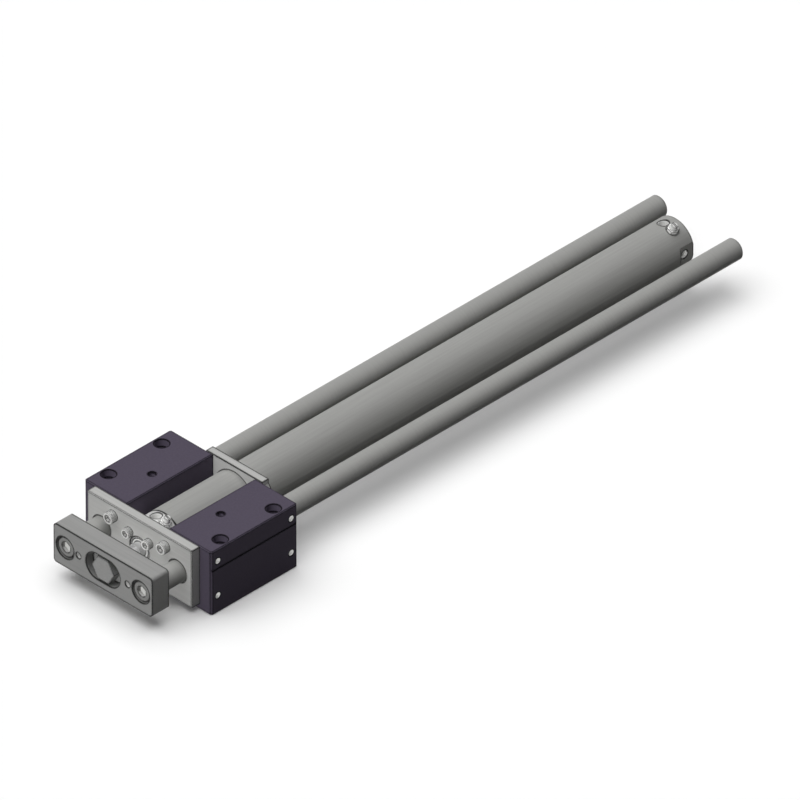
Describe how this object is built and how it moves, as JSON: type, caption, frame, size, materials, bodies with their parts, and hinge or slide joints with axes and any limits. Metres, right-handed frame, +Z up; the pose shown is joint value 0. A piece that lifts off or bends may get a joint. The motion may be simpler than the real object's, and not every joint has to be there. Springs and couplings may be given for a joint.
{
  "type": "guided pneumatic cylinder",
  "caption": "Long-stroke air cylinder between guide rods that run in black guide blocks, with a front plate that carries the load.",
  "frame": {"origin": "centre of the four base holes, on the underside of the guide blocks", "axes": "+X to the right, +Y rearward along the cylinder, +Z up from the base"},
  "size_m": [0.1344, 0.6286, 0.0573],
  "materials": {
    "black_anodised": "satin black anodised aluminium",
    "plate_metal": "milled aluminium, grey",
    "flange_metal": "bright milled aluminium",
    "cover_metal": "bright turned aluminium",
    "tube_metal": "clear anodised aluminium",
    "ground_steel": "ground and hardened steel",
    "rod_chrome": "hard chrome plating",
    "plated_steel": "zinc plated steel",
    "grey_steel": "dull zinc plated steel, grey",
    "spring_steel": "spring steel",
    "bronze": "sintered bronze",
    "brass": "turned brass",
    "seal_rubber": "nitrile rubber",
    "seal_resin": "bearing resin",
    "magnet": "plastic bonded magnet",
    "piston_metal": "turned aluminium"
  },
  "bodies": {
    "housing": {"guide_block_right": "black_anodised", "guide_block_left": "black_anodised", "front_flange": "flange_metal", "rear_flange": "flange_metal", "front_flange_screws": "plated_steel", "rod_cover_screws": "plated_steel", "rear_flange_screws": "plated_steel", "front_bush_right": "bronze", "front_bush_left": "bronze", "rear_bush_right": "bronze", "rear_bush_left": "bronze", "bush_retaining_rings": "spring_steel", "guide_wipers": "seal_rubber", "rod_cover": "cover_metal", "cylinder_tube": "tube_metal", "tube_gasket": "seal_rubber", "rod_bush": "bronze", "rod_seal": "seal_rubber", "seal_washer_ring": "plated_steel", "cushion_seal_front": "seal_rubber", "cushion_seal_rear": "seal_rubber", "needle_nut_front": "plated_steel", "needle_nut_rear": "plated_steel"},
    "slider": {"front_plate": "plate_metal", "guide_rod_right": "ground_steel", "guide_rod_left": "ground_steel", "guide_rod_screws": "grey_steel", "rod_end_bracket": "grey_steel", "float_washer": "plated_steel", "rod_lock_nut": "plated_steel", "piston_rod": "rod_chrome", "piston": "piston_metal", "wear_ring": "seal_resin", "magnet_ring": "magnet", "piston_seal": "seal_rubber", "cushion_ring_front": "brass", "cushion_ring_rear": "brass", "piston_nut": "plated_steel"},
    "needle_front_travel": {"needle_seal_front": "seal_rubber"},
    "needle_front": {"cushion_needle_front": "plated_steel"},
    "needle_rear_travel": {"needle_seal_rear": "seal_rubber"},
    "needle_rear": {"cushion_needle_rear": "plated_steel"}
  },
  "joints": [
    {"name": "rod_slide", "type": "slide", "parent": "housing", "child": "slider", "axis": [0, -1, 0], "range_m": [0, 0.475]},
    {"name": "needle_front_lift", "type": "slide", "parent": "housing", "child": "needle_front_travel", "axis": [0.3907, 0, 0.9205], "range_m": [0, 0.001]},
    {"name": "needle_front_turn", "type": "hinge", "parent": "needle_front_travel", "child": "needle_front", "pos_m": [0, -0.03425, 0.0318], "axis": [0.3907, 0, 0.9205], "range_deg": [0, 720]},
    {"name": "needle_rear_lift", "type": "slide", "parent": "housing", "child": "needle_rear_travel", "axis": [0.3907, 0, 0.9205], "range_m": [0, 0.001]},
    {"name": "needle_rear_turn", "type": "hinge", "parent": "needle_rear_travel", "child": "needle_rear", "pos_m": [0, 0.50185, 0.0318], "axis": [0.3907, 0, 0.9205], "range_deg": [0, 720]}
  ],
  "couplings": [
    {"joint": "needle_front_turn", "follows": "needle_front_lift", "rad_per_m": 12566},
    {"joint": "needle_rear_turn", "follows": "needle_rear_lift", "rad_per_m": 12566}
  ]
}
